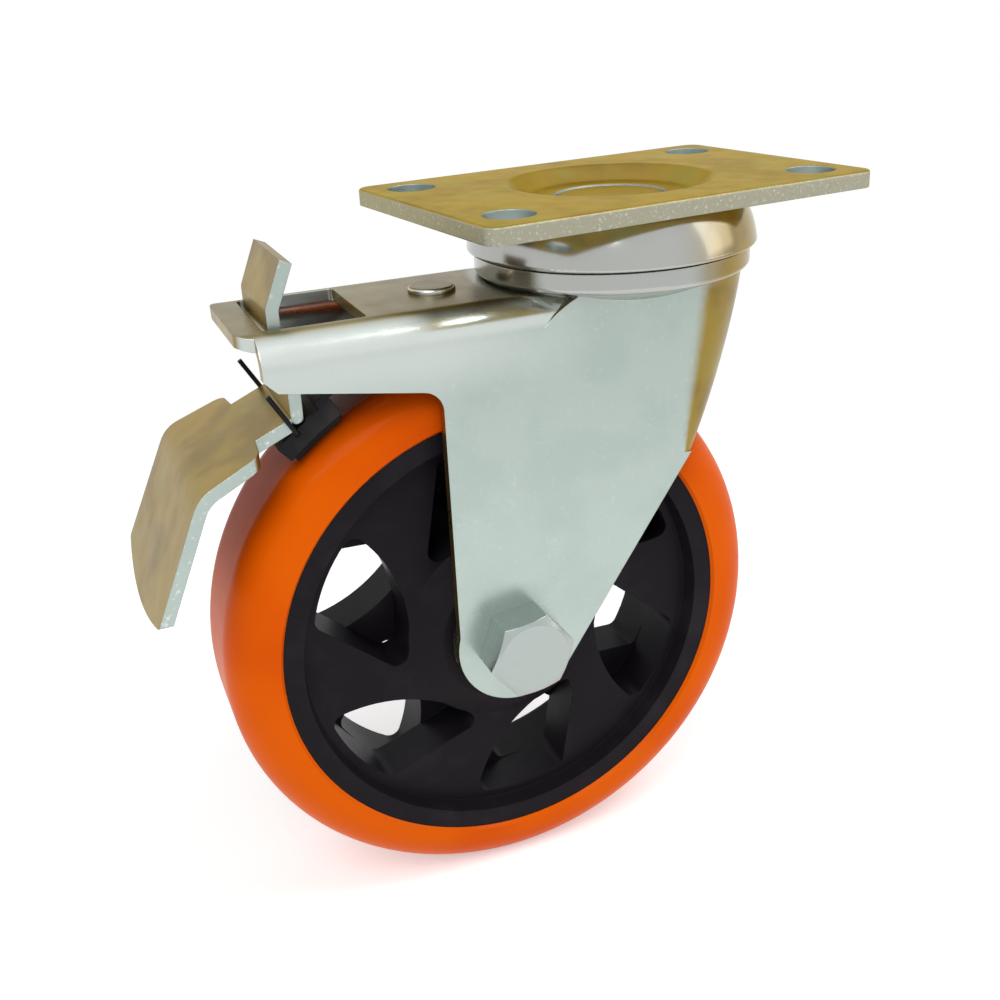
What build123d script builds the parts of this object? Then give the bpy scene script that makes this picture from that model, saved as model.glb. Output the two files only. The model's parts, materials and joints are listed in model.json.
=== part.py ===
"""Swivel castor with a plate, a trailing wheel and a pedal brake.

Millimetres. The origin is the centre of the top plate's upper face, on the kingpin axis.
+Z is up and +X runs along the plate's long side, away from the brake. The wheel trails
towards -X. Everything below the plate is drawn in fork axes and stands turned by
swivel_turn about the kingpin.
"""

import os
from math import acos, atan2, cos, radians, sin, sqrt

from build123d import *

# ---- overall layout ----
swivel_turn = -6.7
axle_back = 33.66
load_height = 156.15
wheel_radius = 62.5
axle_x = -axle_back
axle_z = wheel_radius - load_height

# ---- top plate ----
plate_length = 91.6
plate_width = 62.8
plate_thickness = 3.5
plate_corner = 3.5
plate_edge_round = 0.6
hole_spacing_x = 73.0
hole_spacing_y = 43.0
hole_radius = 5.25
dish_radius = 22.0
dish_depth = 3.0
dish_slope = 4.0
dish_draft = 1.0
head_pocket_depth = 3.0
pocket_wall = 3.0
pocket_draft = 0.6
pocket_floor = 2.8

# ---- kingpin and swivel bearing ----
kingpin_radius = 6.0
kingpin_head_radius = 11.7
kingpin_head_height = 2.8
kingpin_head_chamfer = 0.6
kingpin_tail = 1.2
kingpin_tail_chamfer = 0.8
pin_clearance = 0.1
head_clearance = 0.5
spacer_wall = 2.0
cup_sheet = 1.6
cup_top_radius = 28.7
cup_lip_radius = 31.2
cup_depth = 9.8
cup_shoulder = (1.2, 0.4)
cup_flare_rise = 2.6
cup_flare_step = 0.3
cup_lip_curl = (0.9, 1.2, 0.3)
cup_inner_radius = 20.9
upper_ball_radius = 3.0
upper_ball_ring = 24.0
upper_ball_count = 14
lower_ball_radius = 2.5
lower_ball_ring = 15.5
lower_ball_count = 12
race_clearance = 0.05
race_groove = 0.6
lower_race_thickness = 2.8
lower_race_radius = 20.5
lower_race_round = 1.6
nut_height = 7.0
nut_across_flats = 19.0

# ---- fork ----
sheet = 2.5
fork_half_width = 20.3
crown_ring_radius = 29.8
crown_gap = 0.5
crown_top_radius = 27.3
crown_sheet = 2.8
crown_hole_radius = 10.5
crown_wall = 3.1
crown_round = 1.3
shoulder_drop = 3.3
shoulder_corner = (21.2, -19.7)
shoulder_foot = -20.8
arm_top = -18.4
arm_end = -85.3
arm_corner = 4.5
tongue_half_width = 16.5
tongue_length = 12.0
tongue_flare = 0.6
fold_radius = 6.5
flange_end = -82.0
flange_depth_rear = 10.4
flange_depth_front = 15.6
leg_rear = -47.3
leg_rear_fillet = 4.5
lobe_radius = 14.2
window_front = -59.3
window_half_width = 13.5
window_corner = 1.0
flange_corner = 2.5
nose_levels = (-17.5, -27.0, -39.0, -57.0)
nose_fronts = (29.8, 27.7, 22.6, 9.9)
nose_corners = (20.2, 19.0, 15.0, 2.8)
nose_roots = (-14.0, -27.0, -27.0, -12.0)
block_front = 8.0
leg_front = 9.0
arch_half_width = 14.0
arch_foot_half_width = 17.8
arch_top = -30.0
arch_shoulder_z = -44.0
arch_foot_z = -54.0
arch_corner = 8.0
rivet_x = -41.5
rivet_head_radius = 5.0
rivet_head_height = 1.2
rivet_head_round = 0.7
rivet_shank_radius = 2.9
rivet_foot_radius = 4.4
rivet_foot_height = 1.6
rivet_play = 0.5

# ---- wheel ----
tread_half_width = 16.0
tread_edge_radius = 8.6
tread_shoulder = 0.6
core_radius = 51.4
core_half_width = 15.25
rim_wall = 4.4
rim_draft = 0.8
web_half_width = 11.5
hub_radius = 16.2
hub_foot_radius = 23.0
hub_half_length = 15.6
window_count = 6
window_phase = 198.0
far_window_phase = 180.0
window_rim_radius = 44.2
window_rim_sweep = 29.0
window_hub_radius = 25.0
window_hub_sweep = 56.0
window_bulge_radius = 29.25
window_bulge_sweep = 8.0
window_round = 2.5
bearing_outer_radius = 14.0
bearing_width = 8.0
bearing_inset = 0.6
bearing_shoulder = 1.5
ring_wall = 1.8
wheel_ball_radius = 1.8
wheel_ball_count = 7
sleeve_radius = 7.2
bolt_radius = 5.0
bolt_clearance = 0.05

# ---- axle bolt ----
bolt_flats = 17.0
bolt_head_height = 5.2
head_disc_radius = 7.8
head_chamfer = 1.2
head_corner_play = 0.1
hex_spacer_height = 3.2
hex_turn = 8.6
washer_radius = 10.5
washer_thickness = 2.0
axle_nut_height = 10.0
nut_collar_height = 2.6
nut_collar_step = 0.8
nut_collar_round = 1.0
bolt_tail = 2.2

# ---- brake ----
tab_sheet = 2.5
tab_half_width = 12.0
tab_rear_x = -78.5
tab_foot_x = -76.2
tab_kink_z = -14.8
tab_heel_rise = 1.1
tab_top_x = -74.7
tab_top_z = -5.8
tab_clearance = 1.3
tab_knee_z = -31.0
tab_bend = 3.0
pivot_z = -36.9
neck_top_z = -36.5
pedal_knee = (-97.3, -45.7)
pedal_tip = (-110.3, -74.0)
pedal_bend = 8.0
blade_corner_z = -69.5
blade_corner = 3.0
pedal_sheet = 2.6
neck_half_width = 12.7
blade_root_half_width = 20.3
blade_root_corner = 3.0
blade_end_half_width = 25.2
blade_start_x = -83.8
blade_step = 0.6
blade_reach = 5.0
blade_bow = 1.0
shoe_half_width = 10.0
shoe_gap = 0.3
shoe_thickness = 2.2
shoe_front_angle = 120.5
shoe_rear_angle = 131.5
carrier_lap = 0.5
saddle_rise = 0.35
saddle_start = 3.6
saddle_angle = 125.9
saddle_clearance = 0.3
stop_rise = 1.7
stop_sweep = 2.5
carrier_half_width = 12.7
carrier_height = 3.8
leaf_sheet = 1.8
leaf_half_width = 9.0
leaf_gap = 0.3
leaf_front = -35.5
leaf_bend_x = -46.0
leaf_root_rise = 1.0
leaf_bend = 3.0
wire_radius = 0.5
wire_clearance = 0.02
wire_half_span = 14.1
wire_hole = (-75.4, -40.0)
wire_tip = (-80.6, -31.0)
wire_bend = 1.8

# ---- reach of a cut or a trim that runs right past the piece ----
past = 120.0

os.makedirs("parts", exist_ok=True)

# ---- shared planes and places ----
turn = radians(swivel_turn)
forward = Vector(cos(turn), sin(turn), 0)
across = Vector(-sin(turn), cos(turn), 0)
side = Plane(origin=(0, 0, 0), x_dir=forward, z_dir=-across)
level = Plane(origin=(0, 0, 0), x_dir=forward, z_dir=(0, 0, 1))


def in_fork(x, y, z):
    """A point given in fork axes, as a point of the model."""
    return forward * x + across * y + Vector(0, 0, z)


axle_centre = in_fork(axle_x, 0, axle_z)
axle_axis = Axis(axle_centre, across)
axle_radial = Plane(origin=axle_centre, x_dir=across, z_dir=forward)


def finish(shape, name):
    """Label a finished piece and write it out."""
    shape.label = name
    export_step(shape, f"parts/{name}.step")


# ---- heights of the swivel bearing, from the plate down ----
dish_floor = -dish_depth
pocket_top = dish_floor - head_pocket_depth
pocket_bottom = pocket_top - pocket_floor
pocket_radius = kingpin_head_radius + head_clearance
cup_underside = -plate_thickness - cup_sheet
cup_lip = -plate_thickness - cup_depth
upper_ball_z = cup_underside + race_groove - race_clearance - upper_ball_radius
crown_top = upper_ball_z - upper_ball_radius - race_clearance + race_groove
crown_under = crown_top - crown_sheet
lower_ball_z = crown_under + race_groove - race_clearance - lower_ball_radius
race_top = lower_ball_z - lower_ball_radius - race_clearance + race_groove
race_bottom = race_top - lower_race_thickness
crown_ring_top = cup_lip - crown_gap

# ---- top plate ----
with BuildPart() as top_plate:
    with BuildSketch(Plane.XY.offset(-plate_thickness)):
        RectangleRounded(plate_length, plate_width, plate_corner)
    extrude(amount=plate_thickness)
    fillet(top_plate.faces().sort_by(Axis.Z)[-1].edges(), plate_edge_round)
    with BuildSketch(Plane.XY):
        with GridLocations(hole_spacing_x, hole_spacing_y, 2, 2):
            Circle(hole_radius)
    extrude(amount=-plate_thickness, mode=Mode.SUBTRACT)
    with BuildSketch(Plane.XZ):
        with BuildLine():
            Polyline(
                (0, 0),
                (dish_radius, 0),
                (dish_radius - dish_slope / 2, -plate_thickness),
                (dish_radius - dish_slope - dish_draft, dish_floor - plate_thickness),
                (pocket_radius + pocket_wall, dish_floor - plate_thickness),
                (pocket_radius + pocket_wall - pocket_draft, pocket_bottom),
                (0, pocket_bottom),
                close=True,
            )
        make_face()
    revolve(axis=Axis.Z)
    with BuildSketch(Plane.XZ):
        with BuildLine():
            Polyline(
                (0, past),
                (dish_radius, past),
                (dish_radius, 0),
                (dish_radius - dish_slope, dish_floor),
                (pocket_radius, dish_floor),
                (pocket_radius, pocket_top),
                (kingpin_radius + pin_clearance, pocket_top),
                (kingpin_radius + pin_clearance, -past),
                (0, -past),
                close=True,
            )
        make_face()
    revolve(axis=Axis.Z, mode=Mode.SUBTRACT)
finish(top_plate.part, "top_plate")

# ---- bearing cup under the plate ----
shoulder_in, shoulder_up = cup_shoulder
curl_rise, curl_in, curl_back = cup_lip_curl
with BuildPart() as bearing_cup:
    with BuildSketch(Plane.XZ):
        with BuildLine():
            inside = Line((cup_inner_radius, cup_underside), (cup_inner_radius, -plate_thickness))
            top = Line(inside @ 1, (cup_top_radius - shoulder_in, -plate_thickness))
            shoulder = Line(top @ 1, (cup_top_radius, cup_underside + shoulder_up))
            flare = Spline(
                shoulder @ 1,
                (cup_lip_radius - cup_flare_step, cup_lip + cup_flare_rise),
                (cup_lip_radius, cup_lip + curl_rise),
            )
            lip = ThreePointArc(
                flare @ 1,
                (cup_lip_radius - curl_in / 2, cup_lip),
                (cup_lip_radius - curl_in, cup_lip + curl_back),
            )
            back = Spline(
                lip @ 1,
                (cup_lip_radius - cup_flare_step - cup_sheet, cup_lip + cup_flare_rise),
                (cup_top_radius - cup_sheet, cup_underside),
            )
            Line(back @ 1, inside @ 0)
        make_face()
    revolve(axis=Axis.Z)
    with BuildSketch(Plane.XZ):
        with Locations((upper_ball_ring, upper_ball_z)):
            Circle(upper_ball_radius + race_clearance)
    revolve(axis=Axis.Z, mode=Mode.SUBTRACT)
finish(bearing_cup.part, "bearing_cup")

# ---- kingpin, its spacer, lower race and nut ----
kingpin_end = race_bottom - nut_height - kingpin_tail
with BuildPart() as kingpin:
    with BuildSketch(Plane.XY.offset(pocket_top)):
        Circle(kingpin_head_radius)
    extrude(amount=kingpin_head_height)
    chamfer(kingpin.faces().sort_by(Axis.Z)[-1].edges(), kingpin_head_chamfer)
    with BuildSketch(Plane.XY.offset(pocket_top)):
        Circle(kingpin_radius)
    extrude(amount=kingpin_end - pocket_top)
    chamfer(kingpin.faces().sort_by(Axis.Z)[0].edges(), kingpin_tail_chamfer)
finish(kingpin.part, "kingpin")

spacer_radius = kingpin_radius + pin_clearance + spacer_wall
with BuildPart() as kingpin_spacer:
    with BuildSketch(Plane.XY.offset(race_top)):
        Circle(spacer_radius)
        Circle(kingpin_radius + pin_clearance, mode=Mode.SUBTRACT)
    extrude(amount=pocket_bottom - race_top)
finish(kingpin_spacer.part, "kingpin_spacer")

with BuildPart() as lower_race:
    with BuildSketch(Plane.XY.offset(race_bottom)):
        Circle(lower_race_radius)
        Circle(kingpin_radius + pin_clearance, mode=Mode.SUBTRACT)
    extrude(amount=lower_race_thickness)
    fillet(lower_race.faces().sort_by(Axis.Z)[0].edges().sort_by(Edge.length)[-1], lower_race_round)
    with BuildSketch(Plane.XZ):
        with Locations((lower_ball_ring, lower_ball_z)):
            Circle(lower_ball_radius + race_clearance)
    revolve(axis=Axis.Z, mode=Mode.SUBTRACT)
finish(lower_race.part, "lower_race")

with BuildPart() as kingpin_nut:
    with BuildSketch(Plane.XY.offset(race_bottom)):
        RegularPolygon(nut_across_flats / 2, 6, major_radius=False)
        Circle(kingpin_radius, mode=Mode.SUBTRACT)
    extrude(amount=-nut_height)
finish(kingpin_nut.part, "kingpin_nut")

# ---- the two rings of balls ----
with BuildPart() as upper_balls:
    with PolarLocations(upper_ball_ring, upper_ball_count):
        with Locations((0, 0, upper_ball_z)):
            Sphere(upper_ball_radius)
finish(upper_balls.part, "upper_balls")

with BuildPart() as lower_balls:
    with PolarLocations(lower_ball_ring, lower_ball_count):
        with Locations((0, 0, lower_ball_z)):
            Sphere(lower_ball_radius)
finish(lower_balls.part, "lower_balls")

# ---- fork ----
leg_top_front = leg_front - nose_corners[-1]


def fork_block(inset):
    """The arm and both legs as one solid block, each skin set in by inset."""
    rear = arm_end - 2 * inset
    front = leg_front + 2 * inset
    with BuildPart() as block:
        with BuildSketch(side):
            with BuildLine():
                Polyline(
                    (rear, arm_top - inset),
                    (block_front, arm_top - inset),
                    (leg_top_front, nose_levels[-1]),
                    (front, nose_levels[-1]),
                    (front, -past),
                    (rear, -past),
                    close=True,
                )
            make_face()
        extrude(amount=fork_half_width - inset, both=True)
        folds = block.edges().filter_by(Axis(in_fork(0, 0, 0), forward)).group_by(Axis.Z)[-1]
        fillet(folds, fold_radius - inset)
    return block.part


def fork_nose(inset):
    """The rounded front of the fork, which narrows and leans back as it goes down."""
    with BuildPart() as nose:
        for height, front, corner, root in zip(nose_levels, nose_fronts, nose_corners, nose_roots):
            with BuildSketch(level.offset(height)) as section:
                length = front - inset - root
                with Locations((root + length / 2, 0)):
                    Rectangle(length, 2 * (fork_half_width - inset))
                front_corners = section.vertices().group_by(Axis.X)[-1]
                fillet(front_corners, corner - inset)
        loft()
    return nose.part


def fork_crown():
    """The round crown: a raised race, a ring wall and the shoulder that meets the legs."""
    wall_foot = crown_ring_top - crown_wall
    tuck = wall_foot - crown_round
    with BuildPart() as crown:
        with BuildSketch(Plane.XZ):
            with BuildLine():
                wall = Polyline(
                    (0, crown_top),
                    (crown_top_radius, crown_top),
                    (crown_top_radius, crown_ring_top),
                    (crown_ring_radius, crown_ring_top),
                    (crown_ring_radius, wall_foot),
                )
                turn_in = TangentArc(wall @ 1, (crown_ring_radius - crown_round, tuck), tangent=(0, -1))
                shoulder_end = (fork_half_width, tuck - shoulder_drop)
                Polyline(turn_in @ 1, shoulder_end, (0, tuck - shoulder_drop), wall @ 0)
            make_face()
        revolve(axis=Axis.Z)
    return crown.part


def crown_hollow():
    """The space under the crown for the lower balls and their race."""
    with BuildPart() as hollow:
        with BuildSketch(Plane.XZ):
            with BuildLine():
                Polyline(
                    (0, crown_under),
                    (crown_top_radius - sheet, crown_under),
                    (crown_top_radius - sheet, crown_ring_top - sheet),
                    shoulder_corner,
                    (fork_half_width - sheet, shoulder_foot),
                    (0, shoulder_foot),
                    close=True,
                )
            make_face()
        revolve(axis=Axis.Z)
    return hollow.part


outer_block = fork_block(0)
inner_block = fork_block(sheet)
outer_nose = fork_nose(0)
inner_nose = fork_nose(sheet)
crown = fork_crown()
hollow = crown_hollow()

# where the straight front edge of a leg meets the lobe round the axle
front_run = leg_front - axle_x
front_rise = nose_levels[-1] - axle_z
front_reach = sqrt(front_run**2 + front_rise**2)
tangent_angle = atan2(front_rise, front_run) - acos(lobe_radius / front_reach)
lobe_front = (axle_x + lobe_radius * cos(tangent_angle), axle_z + lobe_radius * sin(tangent_angle))

arm_under = arm_top - sheet
window_rear = tab_rear_x - tab_clearance
end_on = Plane(origin=(0, 0, 0), x_dir=across, z_dir=forward)
with BuildPart() as fork:
    add(outer_block)
    # side outline of the arm's flanges and of the legs
    with BuildSketch(side):
        with BuildLine():
            Polyline(
                (arm_end, arm_top),
                (past, arm_top),
                (past, nose_levels[-1]),
                (leg_front, nose_levels[-1]),
                lobe_front,
                (axle_x, axle_z),
                (leg_rear, axle_z),
                (leg_rear, arm_top - flange_depth_front),
                (flange_end + flange_corner, arm_top - flange_depth_rear),
                (flange_end, arm_top - flange_depth_rear + flange_corner),
                (flange_end, arm_under - tongue_flare),
                (arm_end, arm_under),
                close=True,
            )
        make_face()
        with Locations((axle_x, axle_z)):
            Circle(lobe_radius)
    extrude(amount=past, both=True, mode=Mode.INTERSECT)
    leg_corner = fork.edges().filter_by(Axis(in_fork(0, 0, 0), across))
    leg_corner = leg_corner.filter_by(lambda edge: abs(edge.center().Z - arm_top + flange_depth_front) < 0.1)
    fillet(leg_corner, leg_rear_fillet)
    # plan view: a narrower tongue with round corners stands out past the flanges
    with BuildSketch(level) as arm_plan:
        with Locations((arm_end + tongue_length / 2, 0)):
            Rectangle(tongue_length, 2 * tongue_half_width)
        fillet(arm_plan.vertices().group_by(Axis.X)[0], arm_corner)
        with Locations((flange_end + past / 2, 0)):
            Rectangle(past, 2 * fork_half_width)
    extrude(amount=-past, mode=Mode.INTERSECT)
    add(outer_nose)
    add(crown)
    add(inner_block, mode=Mode.SUBTRACT)
    add(inner_nose, mode=Mode.SUBTRACT)
    add(hollow, mode=Mode.SUBTRACT)
    # the window for the release tab and the rivet's hole
    with BuildSketch(level.offset(arm_top)):
        with Locations(((window_front + window_rear) / 2, 0)):
            RectangleRounded(window_front - window_rear, 2 * window_half_width, window_corner)
        with Locations((rivet_x, 0)):
            Circle(rivet_shank_radius)
    extrude(amount=-2 * sheet, mode=Mode.SUBTRACT)
    # arch between the legs at the front, where the tyre passes
    with BuildSketch(end_on) as arch:
        with BuildLine():
            Polyline(
                (-arch_foot_half_width, -past),
                (-arch_foot_half_width, arch_foot_z),
                (-arch_half_width, arch_shoulder_z),
                (-arch_half_width, arch_top),
                (arch_half_width, arch_top),
                (arch_half_width, arch_shoulder_z),
                (arch_foot_half_width, arch_foot_z),
                (arch_foot_half_width, -past),
                close=True,
            )
        make_face()
        fillet(arch.vertices().group_by(Axis.Y)[-1], arch_corner)
    extrude(amount=past, mode=Mode.SUBTRACT)
    # axle holes, kingpin hole and the two races
    with BuildSketch(side):
        with Locations((axle_x, axle_z)):
            Circle(bolt_radius + bolt_clearance)
    extrude(amount=past, both=True, mode=Mode.SUBTRACT)
    with BuildSketch(Plane.XY.offset(crown_top)):
        Circle(crown_hole_radius)
    extrude(amount=-2 * crown_sheet, mode=Mode.SUBTRACT)
    with BuildSketch(Plane.XZ):
        with Locations((upper_ball_ring, upper_ball_z)):
            Circle(upper_ball_radius + race_clearance)
        with Locations((lower_ball_ring, lower_ball_z)):
            Circle(lower_ball_radius + race_clearance)
    revolve(axis=Axis.Z, mode=Mode.SUBTRACT)
finish(fork.part, "fork")

# ---- rivet that holds the brake's leaf under the arm ----
leaf_top = arm_under - leaf_gap
leaf_under = leaf_top - leaf_sheet
rivet_foot = leaf_under - rivet_play
with BuildPart() as arm_rivet:
    rivet_place = in_fork(rivet_x, 0, 0)
    with BuildSketch(Plane(origin=rivet_place + Vector(0, 0, arm_top))):
        Circle(rivet_head_radius)
    extrude(amount=rivet_head_height)
    fillet(arm_rivet.faces().sort_by(Axis.Z)[-1].edges(), rivet_head_round)
    with BuildSketch(Plane(origin=rivet_place + Vector(0, 0, arm_top))):
        Circle(rivet_shank_radius)
    extrude(amount=rivet_foot - arm_top)
    with BuildSketch(Plane(origin=rivet_place + Vector(0, 0, rivet_foot))):
        Circle(rivet_foot_radius)
    extrude(amount=-rivet_foot_height)
finish(arm_rivet.part, "arm_rivet")

# ---- tread ----
with BuildPart() as tread:
    with BuildSketch(axle_radial) as tread_section:
        with BuildLine():
            Polyline(
                (-core_half_width, core_radius),
                (-tread_half_width, core_radius + tread_shoulder),
                (-tread_half_width, wheel_radius),
                (tread_half_width, wheel_radius),
                (tread_half_width, core_radius + tread_shoulder),
                (core_half_width, core_radius),
                close=True,
            )
        make_face()
        fillet(tread_section.vertices().group_by(Axis.Y)[-1], tread_edge_radius)
    revolve(axis=axle_axis)
finish(tread.part, "tread")

# ---- wheel core ----
bearing_outer_face = hub_half_length - bearing_inset
bearing_inner_face = bearing_outer_face - bearing_width


def leaf_outline(phase, turn_way):
    """One leaf window: two round corners by the rim and a rounded one by the hub."""

    def at(radius, degrees):
        angle = radians(phase + turn_way * degrees)
        return (radius * cos(angle), radius * sin(angle))

    with BuildSketch(Plane.XY, mode=Mode.PRIVATE) as leaf:
        with BuildLine():
            rim = ThreePointArc(
                at(window_rim_radius, 0),
                at(window_rim_radius + 0.2, window_rim_sweep / 2),
                at(window_rim_radius, window_rim_sweep),
            )
            wall = Line(rim @ 1, at(window_hub_radius, window_hub_sweep))
            ThreePointArc(wall @ 1, at(window_bulge_radius, window_bulge_sweep), rim @ 0)
        make_face()
        fillet(leaf.vertices(), window_round)
    return leaf.sketch


with BuildPart() as wheel_core:
    with BuildSketch(axle_radial):
        with BuildLine():
            Polyline(
                (-core_half_width, core_radius),
                (core_half_width, core_radius),
                (core_half_width, core_radius - rim_wall),
                (web_half_width, core_radius - rim_wall - rim_draft),
                (web_half_width, hub_foot_radius),
                (hub_half_length, hub_radius),
                (hub_half_length, bearing_outer_radius),
                (bearing_inner_face, bearing_outer_radius),
                (bearing_inner_face, bearing_outer_radius - bearing_shoulder),
                (-bearing_inner_face, bearing_outer_radius - bearing_shoulder),
                (-bearing_inner_face, bearing_outer_radius),
                (-hub_half_length, bearing_outer_radius),
                (-hub_half_length, hub_radius),
                (-web_half_width, hub_foot_radius),
                (-web_half_width, core_radius - rim_wall - rim_draft),
                (-core_half_width, core_radius - rim_wall),
                close=True,
            )
        make_face()
    revolve(axis=axle_axis)
    near_face = Plane(origin=axle_centre - across * web_half_width, x_dir=forward, z_dir=-across)
    far_face = Plane(origin=axle_centre + across * web_half_width, x_dir=forward, z_dir=-across)
    for number in range(window_count):
        step = number * 360 / window_count
        with BuildSketch(near_face):
            add(leaf_outline(window_phase + step, 1))
        extrude(amount=-web_half_width, mode=Mode.SUBTRACT)
        with BuildSketch(far_face):
            add(leaf_outline(far_window_phase + step, -1))
        extrude(amount=web_half_width, mode=Mode.SUBTRACT)
finish(wheel_core.part, "wheel_core")

# ---- wheel bearings, sleeve and axle ----
ball_pitch_radius = (sleeve_radius + bearing_outer_radius) / 2
for end, way in (("near", -1), ("far", 1)):
    middle = axle_centre + across * (way * (bearing_outer_face - bearing_width / 2))
    bearing_plane = Plane(origin=middle, x_dir=forward, z_dir=across)
    ball_groove = Plane(origin=middle, x_dir=across, z_dir=forward)
    with BuildPart() as outer_ring:
        with BuildSketch(bearing_plane):
            Circle(bearing_outer_radius)
            Circle(bearing_outer_radius - ring_wall, mode=Mode.SUBTRACT)
        extrude(amount=bearing_width / 2, both=True)
        with BuildSketch(ball_groove):
            with Locations((0, ball_pitch_radius)):
                Circle(wheel_ball_radius + race_clearance)
        revolve(axis=Axis(middle, across), mode=Mode.SUBTRACT)
    finish(outer_ring.part, f"outer_ring_{end}")
    with BuildPart() as inner_ring:
        with BuildSketch(bearing_plane):
            Circle(sleeve_radius + ring_wall)
            Circle(sleeve_radius, mode=Mode.SUBTRACT)
        extrude(amount=bearing_width / 2, both=True)
        with BuildSketch(ball_groove):
            with Locations((0, ball_pitch_radius)):
                Circle(wheel_ball_radius + race_clearance)
        revolve(axis=Axis(middle, across), mode=Mode.SUBTRACT)
    finish(inner_ring.part, f"inner_ring_{end}")
    with BuildPart() as wheel_balls:
        for number in range(wheel_ball_count):
            angle = radians(number * 360 / wheel_ball_count)
            reach = forward * (ball_pitch_radius * cos(angle))
            rise = Vector(0, 0, ball_pitch_radius * sin(angle))
            with Locations(middle + reach + rise):
                Sphere(wheel_ball_radius)
    finish(wheel_balls.part, f"wheel_balls_{end}")

leg_inside = fork_half_width - sheet
with BuildPart() as axle_sleeve:
    with BuildSketch(side):
        with Locations((axle_x, axle_z)):
            Circle(sleeve_radius)
            Circle(bolt_radius + bolt_clearance, mode=Mode.SUBTRACT)
    extrude(amount=leg_inside, both=True)
finish(axle_sleeve.part, "axle_sleeve")

head_start = fork_half_width + hex_spacer_height
nut_start = fork_half_width + washer_thickness
near_leg = Plane(origin=axle_centre - across * fork_half_width, x_dir=forward, z_dir=-across)
far_leg = Plane(origin=axle_centre + across * fork_half_width, x_dir=forward, z_dir=across)
with BuildPart() as hex_spacer:
    with BuildSketch(near_leg):
        RegularPolygon(bolt_flats / 2, 6, major_radius=False, rotation=hex_turn)
        Circle(bolt_radius + bolt_clearance, mode=Mode.SUBTRACT)
    extrude(amount=hex_spacer_height)
finish(hex_spacer.part, "hex_spacer")

with BuildPart() as axle_bolt:
    with BuildSketch(near_leg.offset(hex_spacer_height)):
        RegularPolygon(bolt_flats / 2, 6, major_radius=False, rotation=hex_turn)
    extrude(amount=bolt_head_height)
    # the chamfer that turns the head's front face into a disc
    head_face = -head_start - bolt_head_height
    corner_radius = bolt_flats / sqrt(3) + head_corner_play
    with BuildSketch(axle_radial):
        with BuildLine():
            Polyline(
                (head_face, 0),
                (head_face, head_disc_radius),
                (head_face + head_chamfer, corner_radius),
                (-head_start, corner_radius),
                (-head_start, 0),
                close=True,
            )
        make_face()
    revolve(axis=axle_axis, mode=Mode.INTERSECT)
    with BuildSketch(near_leg.offset(hex_spacer_height)):
        Circle(bolt_radius)
    extrude(amount=-(head_start + nut_start + axle_nut_height + bolt_tail))
finish(axle_bolt.part, "axle_bolt")

with BuildPart() as axle_washer:
    with BuildSketch(far_leg):
        Circle(washer_radius)
        Circle(bolt_radius + bolt_clearance, mode=Mode.SUBTRACT)
    extrude(amount=washer_thickness)
finish(axle_washer.part, "axle_washer")

with BuildPart() as axle_nut:
    with BuildSketch(far_leg.offset(washer_thickness)):
        RegularPolygon(bolt_flats / 2, 6, major_radius=False)
    extrude(amount=axle_nut_height - nut_collar_height)
    with BuildSketch(far_leg.offset(washer_thickness + axle_nut_height - nut_collar_height)):
        Circle(bolt_flats / 2 - nut_collar_step)
    extrude(amount=nut_collar_height)
    fillet(axle_nut.faces().sort_by(Axis(axle_centre, across))[-1].edges(), nut_collar_round)
    with BuildSketch(far_leg.offset(washer_thickness)):
        Circle(bolt_radius + bolt_clearance)
    extrude(amount=axle_nut_height, mode=Mode.SUBTRACT)
finish(axle_nut.part, "axle_nut")

# ---- brake: release tab and pedal, one rocking lever ----
pivot_x = tab_foot_x + tab_sheet / 2
with BuildPart() as release_tab:
    with BuildSketch(side):
        with BuildLine():
            back = FilletPolyline(
                (tab_foot_x, pivot_z),
                (tab_foot_x, tab_knee_z),
                (tab_rear_x, arm_top - tab_heel_rise),
                (tab_rear_x, tab_kink_z),
                (tab_top_x, tab_top_z),
                radius=tab_bend,
            )
            offset(back, amount=tab_sheet, side=Side.RIGHT)
        make_face()
        with Locations((pivot_x, pivot_z)):
            Circle(tab_sheet / 2)
    extrude(amount=tab_half_width, both=True)
finish(release_tab.part, "release_tab")

with BuildPart() as brake_pedal:
    with BuildSketch(side):
        with BuildLine():
            crown_line = FilletPolyline(
                (tab_foot_x, neck_top_z),
                pedal_knee,
                pedal_tip,
                radius=pedal_bend,
            )
            offset(crown_line, amount=pedal_sheet, side=Side.LEFT)
        make_face()
    extrude(amount=blade_end_half_width, both=True)
    # plan view: straight neck, then a blade that widens towards its end
    with BuildSketch(level) as blade_plan:
        with BuildLine():
            Polyline(
                (tab_foot_x, -neck_half_width),
                (blade_start_x, -neck_half_width),
                (blade_start_x - blade_step, -blade_root_half_width),
                (pedal_tip[0] - blade_reach, -blade_end_half_width),
                (pedal_tip[0] - blade_reach, blade_end_half_width),
                (blade_start_x - blade_step, blade_root_half_width),
                (blade_start_x, neck_half_width),
                (tab_foot_x, neck_half_width),
                close=True,
            )
        make_face()
        root_corners = blade_plan.vertices().filter_by(lambda v: abs(abs(v.Y) - blade_root_half_width) < 0.1)
        fillet(root_corners, blade_root_corner)
    extrude(amount=-past, mode=Mode.INTERSECT)
    # seen from behind, the blade's end is a shallow curve with rounded corners
    with BuildSketch(end_on) as blade_end:
        with BuildLine():
            edge = ThreePointArc(
                (-blade_end_half_width, blade_corner_z),
                (0, pedal_tip[1] + blade_bow),
                (blade_end_half_width, blade_corner_z),
            )
            Polyline(
                edge @ 1,
                (blade_end_half_width, 0),
                (-blade_end_half_width, 0),
                edge @ 0,
            )
        make_face()
        fillet(blade_end.vertices().group_by(Axis.Y)[0], blade_corner)
    extrude(amount=-past, mode=Mode.INTERSECT)
finish(brake_pedal.part, "brake_pedal")

# ---- brake: shoe, its carrier and the wire spring ----


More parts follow.
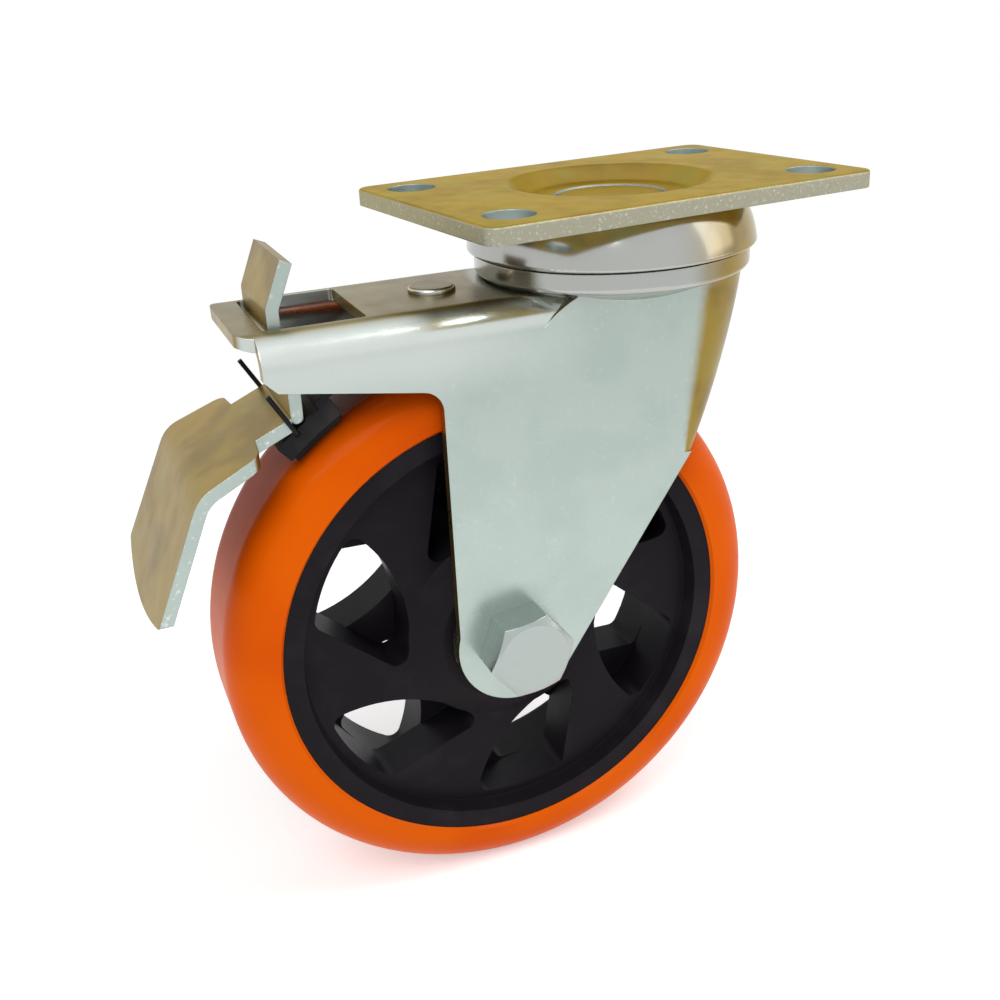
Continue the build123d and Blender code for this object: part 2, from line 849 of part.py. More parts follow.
def on_wheel(radius, degrees):
    """A point at this radius and angle about the axle, in the fork's side view."""
    return (axle_x + radius * cos(radians(degrees)), axle_z + radius * sin(radians(degrees)))


def arc_band(inner, outer, start, end):
    """The face between two radii and two angles about the axle."""
    middle = (start + end) / 2
    with BuildSketch(Plane.XY, mode=Mode.PRIVATE) as band:
        with BuildLine():
            low = ThreePointArc(on_wheel(inner, start), on_wheel(inner, middle), on_wheel(inner, end))
            high = ThreePointArc(on_wheel(outer, start), on_wheel(outer, middle), on_wheel(outer, end))
            Line(low @ 0, high @ 0)
            Line(low @ 1, high @ 1)
        make_face()
    return band.sketch


shoe_inner = wheel_radius + shoe_gap
shoe_outer = shoe_inner + shoe_thickness
carrier_outer = shoe_outer + carrier_height
band_root = carrier_outer - carrier_lap
carrier_front_angle = shoe_front_angle - carrier_lap
stop_end_angle = carrier_front_angle + stop_sweep
with BuildPart() as brake_shoe:
    with BuildSketch(side):
        add(arc_band(shoe_inner, shoe_outer, shoe_front_angle, shoe_rear_angle))
    extrude(amount=shoe_half_width, both=True)
finish(brake_shoe.part, "brake_shoe")

with BuildPart() as shoe_carrier:
    with BuildSketch(side):
        add(arc_band(shoe_outer, carrier_outer, carrier_front_angle, shoe_rear_angle + carrier_lap))
        add(arc_band(band_root, carrier_outer + saddle_rise, shoe_front_angle + saddle_start, saddle_angle))
    extrude(amount=carrier_half_width, both=True)
    with BuildSketch(side):
        add(arc_band(band_root, carrier_outer + stop_rise, carrier_front_angle, stop_end_angle))
    extrude(amount=carrier_half_width, both=True)
    with BuildSketch(side):
        with BuildLine():
            leaf_line = FilletPolyline(
                (leaf_front, leaf_top),
                (leaf_bend_x, leaf_top),
                on_wheel(carrier_outer + leaf_root_rise, shoe_front_angle + carrier_lap),
                radius=leaf_bend,
            )
            offset(leaf_line, amount=leaf_sheet, side=Side.LEFT)
        make_face()
    extrude(amount=leaf_half_width, both=True)
    with BuildSketch(side):
        with Locations((pivot_x, pivot_z)):
            Circle(tab_sheet / 2 + saddle_clearance)
        with Locations(wire_hole):
            Circle(wire_radius + wire_clearance)
    extrude(amount=past, both=True, mode=Mode.SUBTRACT)
    with BuildSketch(Plane(origin=in_fork(rivet_x, 0, leaf_top))):
        Circle(rivet_shank_radius + rivet_play)
    extrude(amount=-2 * leaf_sheet, mode=Mode.SUBTRACT)
finish(shoe_carrier.part, "shoe_carrier")

with BuildPart() as return_wire:
    with BuildLine() as wire_path:
        FilletPolyline(
            in_fork(wire_tip[0], -wire_half_span, wire_tip[1]),
            in_fork(wire_hole[0], -wire_half_span, wire_hole[1]),
            in_fork(wire_hole[0], wire_half_span, wire_hole[1]),
            in_fork(wire_tip[0], wire_half_span, wire_tip[1]),
            radius=wire_bend,
        )
    with BuildSketch(Plane(origin=wire_path.line @ 0, z_dir=wire_path.line % 0)):
        Circle(wire_radius)
    sweep()
finish(return_wire.part, "return_wire")
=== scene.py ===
# %% [markdown]
# # A swivel castor with a pedal brake
#
# The solids of the castor come from a CAD model that is already built: plate, bearing
# cup, fork, wheel, axle and brake. Here they get the finishes that the real pieces have, two small
# turned details that a CAD model leaves plain, a floor, soft light and a camera.
# Everything is in metres, with the origin at the middle of the plate's upper face.

# %% Load the castor's solids
import json
from math import cos, pi, radians, sin

import bmesh
import bpy
from mathutils import Matrix, Vector


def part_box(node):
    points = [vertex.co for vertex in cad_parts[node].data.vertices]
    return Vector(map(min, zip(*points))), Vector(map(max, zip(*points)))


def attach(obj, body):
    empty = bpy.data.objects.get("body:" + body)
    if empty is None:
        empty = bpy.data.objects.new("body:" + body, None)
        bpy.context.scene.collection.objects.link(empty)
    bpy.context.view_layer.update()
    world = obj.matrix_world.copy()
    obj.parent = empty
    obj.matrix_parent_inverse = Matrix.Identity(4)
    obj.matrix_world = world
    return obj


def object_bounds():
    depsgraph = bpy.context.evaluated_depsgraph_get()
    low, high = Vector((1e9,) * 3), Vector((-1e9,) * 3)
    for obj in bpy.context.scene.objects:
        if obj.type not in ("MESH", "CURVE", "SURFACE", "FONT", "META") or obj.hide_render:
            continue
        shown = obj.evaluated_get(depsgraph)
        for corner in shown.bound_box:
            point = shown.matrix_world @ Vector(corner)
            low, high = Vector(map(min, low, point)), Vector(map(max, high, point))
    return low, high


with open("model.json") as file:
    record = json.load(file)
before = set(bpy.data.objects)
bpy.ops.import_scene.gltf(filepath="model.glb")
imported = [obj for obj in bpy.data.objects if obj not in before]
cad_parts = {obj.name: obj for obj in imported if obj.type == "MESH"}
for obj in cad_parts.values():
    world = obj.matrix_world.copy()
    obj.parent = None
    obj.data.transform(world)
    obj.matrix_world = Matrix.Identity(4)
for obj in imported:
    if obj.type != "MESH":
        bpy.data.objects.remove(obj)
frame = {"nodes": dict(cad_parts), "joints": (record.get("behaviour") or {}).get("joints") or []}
solids = frame["nodes"]
cad_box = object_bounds()
print("pieces:", len(solids))

# %% [markdown]
# ## Sums on a texture
#
# Most finishes need a little arithmetic: one mask less another, a noise raised or lowered. Wiring
# Math nodes by hand hides the sum, so a small class stands for a socket and lets it be added,
# taken away or multiplied like a number. Each sign simply makes the Math node that it names.


# %% A socket that takes part in sums
class Signal:
    """The output of a node, which can be used in a sum with numbers or other outputs."""

    def __init__(self, finish, socket):
        self.finish = finish
        self.socket = socket

    def sum_node(self, operation, first, second=0.0):
        return self.finish.add("ShaderNodeMath", {"operation": operation}, {0: first, 1: second})

    def __add__(self, other):
        return self.sum_node("ADD", self, other)

    __radd__ = __add__

    def __sub__(self, other):
        return self.sum_node("SUBTRACT", self, other)

    def __rsub__(self, other):
        return self.sum_node("SUBTRACT", other, self)

    def __mul__(self, other):
        return self.sum_node("MULTIPLY", self, other)

    __rmul__ = __mul__

    def __abs__(self):
        return self.sum_node("ABSOLUTE", self)


# %% [markdown]
# ## One finish, one material
#
# A finish starts as an empty material with one Principled shader. Its `add` method makes any other
# node: the type, then the settings that belong to the node, then what goes into its sockets. The
# helpers below it are the three patterns that the castor needs again and again: a soft step, a
# cloudy noise and a mix of two colours.


# %% A finish and its usual patterns
class Finish:
    """A material with a Principled shader, and the nodes that feed it."""

    def __init__(self, name):
        self.material = bpy.data.materials.new(name)
        self.material.use_nodes = True
        self.tree = self.material.node_tree
        self.tree.nodes.clear()
        self.shader = self.tree.nodes.new("ShaderNodeBsdfPrincipled")
        surface = self.tree.nodes.new("ShaderNodeOutputMaterial")
        self.tree.links.new(self.shader.outputs["BSDF"], surface.inputs["Surface"])

    def feed(self, socket, value):
        """Link a signal to a socket, or set the socket to a plain value."""
        if isinstance(value, Signal):
            self.tree.links.new(value.socket, socket)
        else:
            socket.default_value = value

    def add(self, kind, settings=(), values=(), result=0):
        """Make a node, set it up, fill its sockets and hand back one of its outputs."""
        node = self.tree.nodes.new(kind)
        for name, setting in dict(settings).items():
            setattr(node, name, setting)
        for name, value in dict(values).items():
            self.feed(node.inputs[name], value)
        return Signal(self, node.outputs[result])

    def set(self, **values):
        """Fill the shader's own sockets: underscores in a name stand for spaces."""
        for name, value in values.items():
            self.feed(self.shader.inputs[name.replace("_", " ")], value)

    def place(self):
        """Where a point is on the castor, in metres. It stays with the piece when that moves."""
        return self.add("ShaderNodeTexCoord", result="Object")

    def along(self, axis):
        """How far a point is along X, Y or Z of the castor, in metres."""
        return self.add("ShaderNodeSeparateXYZ", values={"Vector": self.place()}, result=axis)

    def facing(self, axis):
        """How far the surface faces along X, Y or Z of the castor, from -1 to 1."""
        normal = self.add("ShaderNodeTexCoord", result="Normal")
        return self.add("ShaderNodeSeparateXYZ", values={"Vector": normal}, result=axis)

    def step(self, signal, low, high):
        """A soft step: 0 below low, 1 above high."""
        limits = {"Value": signal, "From Min": low, "From Max": high}
        return self.add("ShaderNodeMapRange", {"interpolation_type": "SMOOTHSTEP"}, limits)

    def cloud(self, size, detail=2.0, stretch=(1.0, 1.0, 1.0)):
        """Cloudy noise from 0 to 1 whose patches are about size metres across."""
        scale = [1.0 / (size * s) for s in stretch]
        point = self.add("ShaderNodeMapping", values={"Vector": self.place(), "Scale": scale})
        return self.add("ShaderNodeTexNoise", values={"Vector": point, "Scale": 1.0, "Detail": detail})

    def mix(self, amount, first, second):
        """First colour where amount is 0, second colour where it is 1."""
        values = {0: amount, 6: first, 7: second}
        return self.add("ShaderNodeMix", {"data_type": "RGBA"}, values, result=2)

    def relief(self, height, depth, normal=None):
        """A bump of this depth in metres from a height signal."""
        values = {"Height": height, "Distance": depth, "Strength": 1.0}
        if normal:
            values["Normal"] = normal
        return self.add("ShaderNodeBump", values=values)

    def soft_edges(self, radius):
        """The normal as if every sharp edge were rounded by this radius."""
        return self.add("ShaderNodeBevel", {"samples": 6}, {"Radius": radius})


# %% [markdown]
# ## Zinc plating
#
# The plate, fork, cup, pedal and bolt are mild steel with a thin coat of zinc. The coat is dipped
# in a passivating bath afterwards, and that bath leaves a colour: thin and nearly colourless on
# the walls, where it drains off, and yellow-brown on the faces where it stands. So the colour
# follows the way a face points: gold on top and at the front, pale on the side walls. The fork is
# turned a little from the plate, so its front is found from the line of its axle. Clouds of two
# sizes make the colour uneven, as a real bath does, and a weak green is left between them.
#
# Where the sheet is stretched, round the crown and over the folds, it comes out smoother. The crown
# gets a greyer polished tone, and a painted highlight, a pale band, is laid along the folds; the flat
# upward faces of the arm are darkened. These places are picked out by a height and by slopes.
#
# The roughness varies as well. A coat on drawn sheet is smooth in one place and frosted in the
# next, and that is what makes a reflection look like metal instead of grey paint.

# %% The way the fork points
axle = next(joint for joint in frame["joints"] if joint["name"] == "wheel_spin")
axle_line = Vector(axle["axis"]).normalized()
up = Vector((0.0, 0.0, 1.0))
forward = axle_line.cross(up)
print("forward:", [round(part, 3) for part in forward])


# %% The colours of the coat
zinc_pale = (0.45, 0.53, 0.49, 1.0)
zinc_grey = (0.36, 0.43, 0.41, 1.0)
zinc_white = (0.70, 0.74, 0.71, 1.0)
zinc_mirror = (0.44, 0.45, 0.43, 1.0)
bath_gold = (0.34, 0.235, 0.050, 1.0)
bath_brown = (0.25, 0.17, 0.045, 1.0)
# a dark tone that darkens the flat upward faces of the fork
level_face_dark = (0.13, 0.12, 0.055, 1.0)
bath_green = (0.27, 0.28, 0.09, 1.0)
bath_orange = (0.40, 0.22, 0.06, 1.0)
sheared = (0.38, 0.37, 0.28, 1.0)


# %% Masks by place and by direction
def from_kingpin(finish):
    """How far a point is from the kingpin's line, in metres."""
    level = {0: finish.place(), 1: (1.0, 1.0, 0.0)}
    flat = finish.add("ShaderNodeVectorMath", {"operation": "MULTIPLY"}, level)
    return finish.add("ShaderNodeVectorMath", {"operation": "LENGTH"}, {0: flat}, "Value")


def front_share(finish, low, high):
    """0 on faces that point to the side or back, 1 on those that point to the front."""
    ahead = finish.facing("X") * forward.x + finish.facing("Y") * forward.y
    return finish.step(ahead, low, high)


# %% Sheet metal in zinc
edge_round = 0.0003
crown_heights = (-0.0225, -0.0175)
crown_reach = (0.0305, 0.0325)
flank_heights = (-0.038, -0.026)
flank_lengths = (-0.050, -0.012)
fold_slopes = (0.12, 0.35, 0.62, 0.86)
level_slopes = (0.93, 0.99)
patch_size = 0.016
green_size = 0.024
speck_size = 0.0012
frost_size = 0.006
sheet_grain_size = 0.00035
sheet_grain_depth = 0.000012
stretched_gloss = 0.14
dielectric_shine = 0.15


def fork_masks(sheet):
    """Where the sheet is drawn over the crown, folded along the arm, or a side of the arm."""
    high = sheet.step(sheet.along("Z"), *crown_heights)
    drawn = high * (1 - sheet.step(from_kingpin(sheet), *crown_reach))
    rise = sheet.facing("Z")
    fold = sheet.step(rise, *fold_slopes[:2]) * (1 - sheet.step(rise, *fold_slopes[2:]))
    rear = 1 - sheet.step(sheet.along("X"), *flank_lengths)
    flank = sheet.step(sheet.along("Z"), *flank_heights) * rear
    return drawn, fold * (1 - drawn), flank


def zinc_sheet(name, gold_limits, roughness, speck_share, front_gold, fold_share):
    """Zinc-coated sheet, gold where it turns away from the side walls of the castor."""
    sheet = Finish(name)
    drawn, fold, flank = fork_masks(sheet)
    gold = 1 - sheet.step(abs(sheet.facing("Y")), *gold_limits)
    gold = gold + front_share(sheet, 0.03, 0.24) * front_gold
    patches = sheet.step(sheet.cloud(patch_size, 3.0), 0.42, 0.62)
    specks = sheet.step(sheet.cloud(speck_size, 2.0), 0.58, 0.78)
    green = sheet.step(sheet.cloud(green_size, 1.0), 0.52, 0.72)
    # gold, brown and green where the bath stood, pale and grey where it drained off, white specks; the
    # upper rear of the arm's sides is made lighter
    stain = sheet.mix(patches, bath_gold, bath_brown)
    stain = sheet.mix(green * 0.6, stain, bath_green)
    coat = sheet.mix(patches * 0.25, zinc_pale, zinc_grey)
    coat = sheet.mix(specks * speck_share, coat, zinc_white)
    coat = sheet.mix(flank * fold_share, coat, zinc_white)
    colour = sheet.mix(gold, coat, stain)
    # polished grey tone on the crown, darkened flat upward faces, and a painted highlight: a pale band
    # along the folds
    colour = sheet.mix(drawn * (1 - front_share(sheet, -0.05, 0.50)), colour, zinc_mirror)
    colour = sheet.mix(sheet.step(sheet.facing("Z"), *level_slopes) * fold_share, colour, level_face_dark)
    # painted highlight: the fold's slope is mixed towards zinc_white
    colour = sheet.mix(fold * fold_share, colour, zinc_white)
    grain = sheet.cloud(sheet_grain_size, 2.0)
    normal = sheet.relief(grain, sheet_grain_depth, sheet.soft_edges(edge_round))
    sheet.set(Base_Color=colour, Metallic=0.90, Normal=normal, Specular_IOR_Level=dielectric_shine)
    stretched = (drawn + fold * fold_share) * stretched_gloss
    sheet.set(Roughness=roughness - stretched + (sheet.cloud(frost_size, 3.0) - 0.5) * 0.18)
    return sheet.material


fork_finish = zinc_sheet(
    "zinc_fork",
    gold_limits=(0.12, 0.62),
    roughness=0.30,
    speck_share=0.18,
    front_gold=1.0,
    fold_share=0.6,
)
lever_finish = zinc_sheet(
    "zinc_lever",
    gold_limits=(0.75, 0.97),
    roughness=0.38,
    speck_share=0.9,
    front_gold=0.0,
    fold_share=0.0,
)
print("sheet finishes:", fork_finish.name, lever_finish.name)

# %% [markdown]
# ## The plate
#
# The plate is a blank sheared from thick strip, and then coated like the rest. Its faces are
# smooth and gold, but the shear tears its way through the last part of the thickness, so the
# outer edges are rough, pale and full of bright specks. The walls of the bolt holes are punched
# with a closer tool and stay smooth. One mask tells edge from face by how upright the surface is,
# and a second finds the outer edges by their place. The dish for the kingpin is pressed, so its
# edges are rounder than the plate's own.

# %% The plate's finish
plate = Finish("zinc_plate")
upright = 1 - plate.step(abs(plate.facing("Z")), 0.35, 0.8)
half_length, half_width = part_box("top_plate")[1][:2]
rim_from, rim_to = 0.0015, 0.0010
plate_round = 0.0004
dish_rounding = 0.0016
dish_rim = (0.0235, 0.0245)
tear_size = 0.0006
tear_depth = 0.00010
outer = plate.step(abs(plate.along("X")), half_length - rim_from, half_length - rim_to)
outer = outer + plate.step(abs(plate.along("Y")), half_width - rim_from, half_width - rim_to)
bath = plate.step(plate.cloud(0.020, 3.0), 0.40, 0.64)
face = plate.mix(bath, bath_gold, bath_brown)
face = plate.mix(plate.step(plate.cloud(0.013, 2.0), 0.50, 0.68) * 0.55, face, bath_green)
face = plate.mix(plate.step(plate.cloud(0.007, 2.0), 0.56, 0.70) * 0.5, face, bath_orange)
torn = plate.cloud(tear_size, 3.0)
edge = plate.mix(plate.step(torn, 0.56, 0.85), sheared, zinc_white)
walls = plate.mix(outer, zinc_grey, edge)
in_dish = 1 - plate.step(from_kingpin(plate), *dish_rim)
rounded = plate.soft_edges(in_dish * dish_rounding + plate_round)
shear_marks = plate.relief(torn * upright * outer, tear_depth, rounded)
plate.set(Base_Color=plate.mix(upright, face, walls), Metallic=0.92, Normal=shear_marks)
plate.set(Specular_Tint=(0.92, 0.78, 0.38, 1.0), Specular_IOR_Level=dielectric_shine)
plate.set(Roughness=0.33 + upright * 0.12 + (plate.cloud(0.005, 2.0) - 0.5) * 0.16)
print("plate finish:", plate.material.name)

# %% [markdown]
# ## Polished zinc
#
# The bearing cup and the bolt head are smoother than the sheet around them: the cup because it is
# spun, the bolt because it is cold-headed from bright wire. They get the same coat with a lower
# roughness and no grain, so that they pick up clear bands of light and dark.


# %% The finish of the cup and the fasteners
def polished_zinc(name, roughness, gold_share, tone=zinc_pale):
    """Bright zinc, with gold clouds where the bath has stood at the front."""
    bright = Finish(name)
    turned = front_share(bright, -0.10, 0.50)
    clouds = bright.step(bright.cloud(0.009, 2.0), 0.45, 0.65)
    stain = bright.mix(clouds, bath_gold, bath_brown)
    colour = bright.mix(turned * gold_share, tone, stain)
    bright.set(Base_Color=colour, Metallic=0.92, Normal=bright.soft_edges(0.00025))
    bright.set(Roughness=roughness + (bright.cloud(0.004, 2.0) - 0.5) * 0.1)
    return bright.material


cup_finish = polished_zinc("zinc_cup", 0.16, 0.9, zinc_mirror)
bolt_finish = polished_zinc("zinc_bolt", 0.26, 0.1, (0.41, 0.46, 0.44, 1.0))
race_finish = polished_zinc("bearing_steel", 0.15, 0.0, zinc_mirror)
print("polished finishes:", cup_finish.name, bolt_finish.name, race_finish.name)

# %% [markdown]
# ## The tread
#
# The tyre is polyurethane, cast in a mould straight on to the core. It is a strong orange right
# through and its skin is glossy, because it copies a polished mould. A clear coat over a rougher
# body gives that look: a broad soft glow with a small sharp highlight on top. Very faint waves in
# the skin keep the highlight from being a perfect band.

# %% The tread's finish
tread = Finish("orange_tread")
warm = tread.step(tread.cloud(0.03, 2.0), 0.35, 0.7)
tread_colour = tread.mix(warm, (0.80, 0.118, 0.0, 1.0), (0.73, 0.090, 0.0, 1.0))
tread.set(Base_Color=tread_colour, Roughness=0.36 + tread.cloud(0.004, 2.0) * 0.08)
tread.set(Specular_IOR_Level=0.10, Specular_Tint=(1.0, 0.40, 0.12, 1.0))
tread.set(Coat_Weight=0.05, Coat_Roughness=0.12)
tread.set(Normal=tread.relief(tread.cloud(0.006), 0.00003))
print("tread finish:", tread.material.name)

# %% [markdown]
# ## Black nylon and black steel
#
# The core is injection-moulded nylon. Straight from the mould it is satin, with a grain so fine
# that it only shows as a soft edge to each highlight. The brake's carrier and its wire are
# blackened steel, smoother and a little bluer, and the pad is plain rubber.


# %% The plain finishes
def soft_finish(name, colour, worn_colour, roughness, grain_size, grain_depth, metallic=0.0):
    """A plain surface with a fine grain and worn clouds of a second colour."""
    plain = Finish(name)
    worn = plain.step(plain.cloud(0.012, 3.0), 0.45, 0.75)
    normal = plain.relief(plain.cloud(grain_size, 2.0), grain_depth, plain.soft_edges(0.0003))
    plain.set(Base_Color=plain.mix(worn, colour, worn_colour), Metallic=metallic, Normal=normal)
    plain.set(Roughness=roughness + (plain.cloud(0.01, 2.0) - 0.5) * 0.12, Specular_IOR_Level=0.08)
    return plain.material


core_finish = soft_finish(
    "black_core", (0.011, 0.009, 0.012, 1.0), (0.018, 0.015, 0.019, 1.0), 0.42, 0.0006, 0.00002
)
steel_finish = soft_finish(
    "black_steel", (0.018, 0.018, 0.020, 1.0), (0.045, 0.042, 0.040, 1.0), 0.36, 0.0010, 0.00002, 0.5
)
pad_finish = soft_finish(
    "black_rubber", (0.020, 0.019, 0.019, 1.0), (0.032, 0.030, 0.029, 1.0), 0.75, 0.0012, 0.00005
)
print("plain finishes:", core_finish.name, steel_finish.name, pad_finish.name)

# %% [markdown]
# ## Dress every solid
#
# Each solid keeps its shape and only changes its material. A list per finish is easier to check
# than a search by name, and a last look for solids without a finish catches a forgotten one.

# %% Give each solid its finish
dressed = {
    fork_finish: ["fork", "arm_rivet", "axle_washer"],
    lever_finish: ["brake_pedal", "release_tab"],
    plate.material: ["top_plate", "kingpin"],
    cup_finish: ["bearing_cup", "kingpin_nut", "lower_race"],
    bolt_finish: ["axle_bolt", "hex_spacer", "axle_nut", "axle_sleeve", "kingpin_spacer"],
    race_finish: [
        "upper_balls",
        "lower_balls",
        "wheel_balls_near",
        "wheel_balls_far",
        "inner_ring_near",
        "inner_ring_far",
        "outer_ring_near",
        "outer_ring_far",
    ],
    tread.material: ["tread"],
    core_finish: ["wheel_core"],
    steel_finish: ["shoe_carrier", "return_wire"],
    pad_finish: ["brake_shoe"],
}
for material, names in dressed.items():
    for name in names:
        solids[name].data.materials.clear()
        solids[name].data.materials.append(material)
bare = set(solids) - {name for names in dressed.values() for name in names}
print("dressed:", len(solids) - len(bare), "bare:", sorted(bare))

# %% [markdown]
# ## The thread on the axle's tail
#
# Behind the lock nut a short end of the axle bolt shows its thread. A thread is a small ridge
# wound round a shaft, so it is made the same way: a three-cornered outline is spun about the
# axle's line, and on each step it also moves along that line. The spin operator does both at
# once when it is given a distance as well as an angle.

# %% Wind the thread
axle_middle = Vector(axle["pos_m"])


def reach_along(name, line, start):
    """How far a solid reaches from a point along a line, in metres."""
    return max((corner.co - start).dot(line) for corner in solids[name].data.vertices)


bolt_radius = 0.005
thread_pitch = 0.0015
thread_height = 0.0004
thread_root = 0.0002
crest_at = 0.42
foot_at = 0.84
tail_end = reach_along("axle_bolt", axle_line, axle_middle)
nut_end = reach_along("axle_nut", axle_line, axle_middle)
thread_start = nut_end - thread_pitch
thread_turns = (tail_end - nut_end) / thread_pitch
steps_per_turn = 40


def piece(name, mesh, material, body):
    """Put a finished bmesh into the scene as a piece that moves with a body."""
    bmesh.ops.recalc_face_normals(mesh, faces=mesh.faces)
    data = bpy.data.meshes.new(name)
    mesh.to_mesh(data)
    mesh.free()
    data.materials.append(material)
    obj = bpy.data.objects.new(name, data)
    bpy.context.scene.collection.objects.link(obj)
    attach(obj, body)
    return obj


thread = bmesh.new()
foot = axle_middle + axle_line * thread_start
ridge = [
    thread.verts.new(foot + up * (bolt_radius - thread_root)),
    thread.verts.new(foot + axle_line * (thread_pitch * crest_at) + up * (bolt_radius + thread_height)),
    thread.verts.new(foot + axle_line * (thread_pitch * foot_at) + up * (bolt_radius - thread_root)),
]
outline = thread.faces.new(ridge)
spin_steps = round(steps_per_turn * thread_turns)
bmesh.ops.spin(
    thread,
    geom=[outline] + outline.edges[:] + outline.verts[:],
    cent=axle_middle,
    axis=axle_line,
    dvec=axle_line * (thread_pitch / steps_per_turn),
    angle=2 * pi * thread_turns,
    steps=spin_steps,
)
bmesh.ops.remove_doubles(thread, verts=thread.verts, dist=1e-7)
piece("axle_thread", thread, bolt_finish, "swivel")
print("thread turns:", round(thread_turns, 2), "steps:", spin_steps)

# %% [markdown]
# ## The lock nut's nylon ring
#
# A lock nut grips its bolt with a ring of nylon pressed into its collar. It shows as a pale ring
# round the thread. Its section is a small rectangle with rounded corners, and one full spin about
# the axle makes the ring.

# %% Spin the nylon ring
ring_play = 0.0002
ring_inner = bolt_radius + thread_height + ring_play
ring_outer = 0.0068
ring_proud = 0.00025
ring_depth = 0.0008
ring_round = 0.0003
shoulder_height = ring_proud * 0.4
ring_steps = 64
ring = bmesh.new()
corners = [
    (ring_inner, -ring_depth),
    (ring_inner, shoulder_height),
    (ring_inner + ring_round, ring_proud),
    (ring_outer - ring_round, ring_proud),
    (ring_outer, shoulder_height),
    (ring_outer, -ring_depth),
]
section = ring.faces.new(
    [ring.verts.new(axle_middle + axle_line * (nut_end + along) + up * out) for out, along in corners]
)
rim = section.edges[:]
ring.faces.remove(section)
bmesh.ops.spin(
    ring,
    geom=rim + ring.verts[:],
    cent=axle_middle,
    axis=axle_line,
    angle=2 * pi,
    steps=ring_steps,
    use_merge=True,
)
nylon_white, nylon_worn = (0.62, 0.63, 0.60, 1.0), (0.52, 0.52, 0.48, 1.0)
nylon = soft_finish("white_nylon", nylon_white, nylon_worn, 0.45, 0.0006, 0.00001)
piece("lock_ring", ring, nylon, "swivel")
print("nylon ring radius:", ring_outer)

# %% [markdown]
# ## The floor
#
# A castor stands on its wheel, so the floor touches the lowest point of the tread. It is one wide
# plate of white. To the eye it gets a little light of its own, which lifts it to the white of the
# background without putting more light on the castor, and the castor's shadow stays. Further off,
# where no shadow falls, it is plain white, so that floor and background meet without a line.

# %% Lay the floor
floor_size = 8.0
shadow_reach = (0.16, 0.42)
floor_glow = 0.38
lowest_point = (-0.033, 0.004, cad_box[0][2])
floor_mesh = bmesh.new()
bmesh.ops.create_grid(floor_mesh, x_segments=1, y_segments=1, size=floor_size / 2)
bmesh.ops.translate(floor_mesh, verts=floor_mesh.verts, vec=(0.0, 0.0, cad_box[0][2]))
floor_data = bpy.data.meshes.new("floor")
floor_mesh.to_mesh(floor_data)
floor_mesh.free()
floor = bpy.data.objects.new("floor", floor_data)
bpy.context.scene.collection.objects.link(floor)


def seen_rays(finish):
    """1 for rays that show a surface to the eye: straight, in a mirror or through glass."""
    seen = finish.add("ShaderNodeLightPath", result="Is Camera Ray")
    seen = seen + finish.add("ShaderNodeLightPath", result="Is Glossy Ray")
    return seen + finish.add("ShaderNodeLightPath", result="Is Transmission Ray")


white_floor = Finish("white_floor")
ends = {0: white_floor.place(), 1: lowest_point}
middle = white_floor.add("ShaderNodeVectorMath", {"operation": "DISTANCE"}, ends, "Value")
away = white_floor.step(middle, *shadow_reach)
lit = white_floor.mix(away * seen_rays(white_floor), (0.90, 0.90, 0.90, 1.0), (0.0, 0.0, 0.0, 1.0))
white_floor.set(Base_Color=lit, Roughness=0.9, Specular_IOR_Level=0.0)
share = floor_glow + (1 - floor_glow) * away
glow = white_floor.mix(share * seen_rays(white_floor), (0.0, 0.0, 0.0, 1.0), (1.0, 1.0, 1.0, 1.0))
white_floor.set(Emission_Color=glow, Emission_Strength=1.0)
floor_data.materials.append(white_floor.material)
print("floor height:", round(cad_box[0][2], 4))

# %% [markdown]
# ## Soft light
#
# The castor is lit as in a small photo tent: a pale sky all round, a large lamp above and in front
# on the left, a smaller one high on the right that runs a band of light along the arm's fold, and
# a weak one low on the right. Large lamps give soft shadows. The background is made white only
# for the rays that show it: straight to the eye, mirrored or seen through glass.

# %% World and lamps
sky_strength = 0.55
world = bpy.data.worlds.new("pale_sky")
bpy.context.scene.world = world
world.use_nodes = True
sky = world.node_tree
sky.nodes.clear()
light_path = sky.nodes.new("ShaderNodeLightPath")
mirrored = sky.nodes.new("ShaderNodeMath")
mirrored.operation = "MAXIMUM"
sky.links.new(light_path.outputs["Is Glossy Ray"], mirrored.inputs[0])
sky.links.new(light_path.outputs["Is Transmission Ray"], mirrored.inputs[1])
any_seen = sky.nodes.new("ShaderNodeMath")
any_seen.operation = "MAXIMUM"
sky.links.new(light_path.outputs["Is Camera Ray"], any_seen.inputs[0])
sky.links.new(mirrored.outputs[0], any_seen.inputs[1])
lighting = sky.nodes.new("ShaderNodeBackground")
lighting.inputs["Strength"].default_value = sky_strength
backdrop = sky.nodes.new("ShaderNodeBackground")
backdrop.inputs["Color"].default_value = (1.0, 1.0, 1.0, 1.0)
lighting.inputs["Color"].default_value = (1.0, 1.0, 1.0, 1.0)
choice = sky.nodes.new("ShaderNodeMixShader")
sky_output = sky.nodes.new("ShaderNodeOutputWorld")
sky.links.new(any_seen.outputs[0], choice.inputs[0])
sky.links.new(lighting.outputs[0], choice.inputs[1])
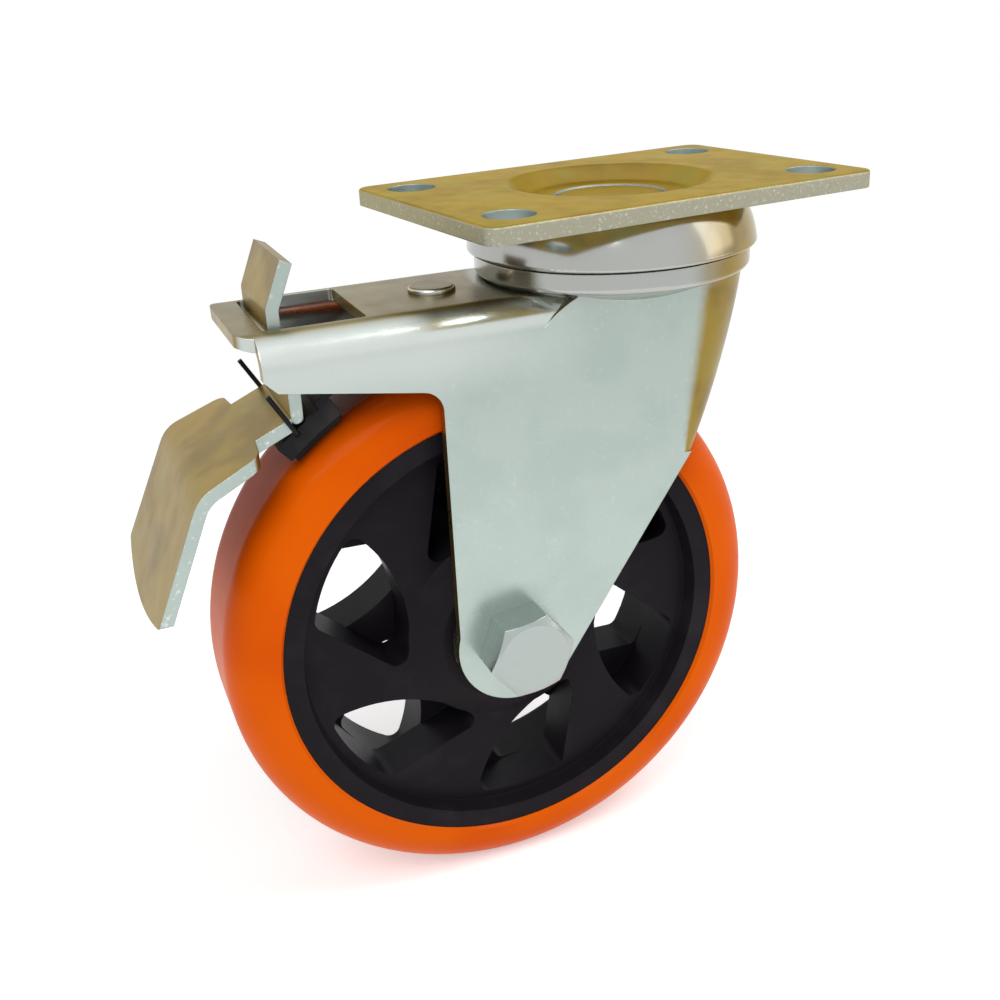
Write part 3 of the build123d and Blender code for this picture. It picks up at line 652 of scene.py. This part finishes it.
sky.links.new(backdrop.outputs[0], choice.inputs[2])
sky.links.new(choice.outputs[0], sky_output.inputs["Surface"])

wheel_height = Vector((-0.03, 0.0, -0.07))


def lamp(name, place, size, power):
    """A square soft lamp that points at the castor."""
    light = bpy.data.lights.new(name, "AREA")
    light.size = size
    light.energy = power
    obj = bpy.data.objects.new(name, light)
    obj.location = place
    obj.rotation_euler = (wheel_height - Vector(place)).to_track_quat("-Z", "Y").to_euler()
    bpy.context.scene.collection.objects.link(obj)
    return obj


lamp("key_lamp", (-0.55, -0.55, 0.75), 0.6, 4.5)
lamp("fold_lamp", (0.45, -0.42, 0.85), 0.35, 2.5)
lamp("fill_lamp", (0.75, -0.45, 0.25), 0.5, 1.0)
print("lamps:", [light.name for light in bpy.data.lights])

# %% [markdown]
# ## The camera
#
# The camera stands low in front and a little to the left, as someone would who holds the castor
# at arm's length. Its place is worked out from two angles, a distance and a small shift of the
# picture, so that each of them can be changed by itself.

# %% Place the camera
camera_turn = radians(-27.567)
camera_rise = radians(23.360)
camera_roll = radians(-3.077)
camera_distance = 0.255859
picture_shift = (0.023284, 0.068408)
sensor_width = 36.0
focal_length = 43.275

level_back = Vector((sin(camera_turn), -cos(camera_turn), 0.0))
back = level_back * cos(camera_rise) + up * sin(camera_rise)
right = Vector((cos(camera_turn), sin(camera_turn), 0.0))
above = back.cross(right)
picture_right = cos(camera_roll) * right + sin(camera_roll) * above
picture_up = cos(camera_roll) * above - sin(camera_roll) * right
eye = back * camera_distance - picture_right * picture_shift[0] - picture_up * picture_shift[1]

lens = bpy.data.cameras.new("camera")
lens.sensor_width = sensor_width
lens.lens = focal_length
lens.clip_start = 0.01
camera = bpy.data.objects.new("camera", lens)
turned = Matrix((picture_right, picture_up, back)).transposed().to_4x4()
camera.matrix_world = Matrix.Translation(eye) @ turned
bpy.context.scene.collection.objects.link(camera)
bpy.context.scene.camera = camera
bpy.context.scene.view_settings.view_transform = "Standard"
print("camera at", [round(c, 3) for c in eye])
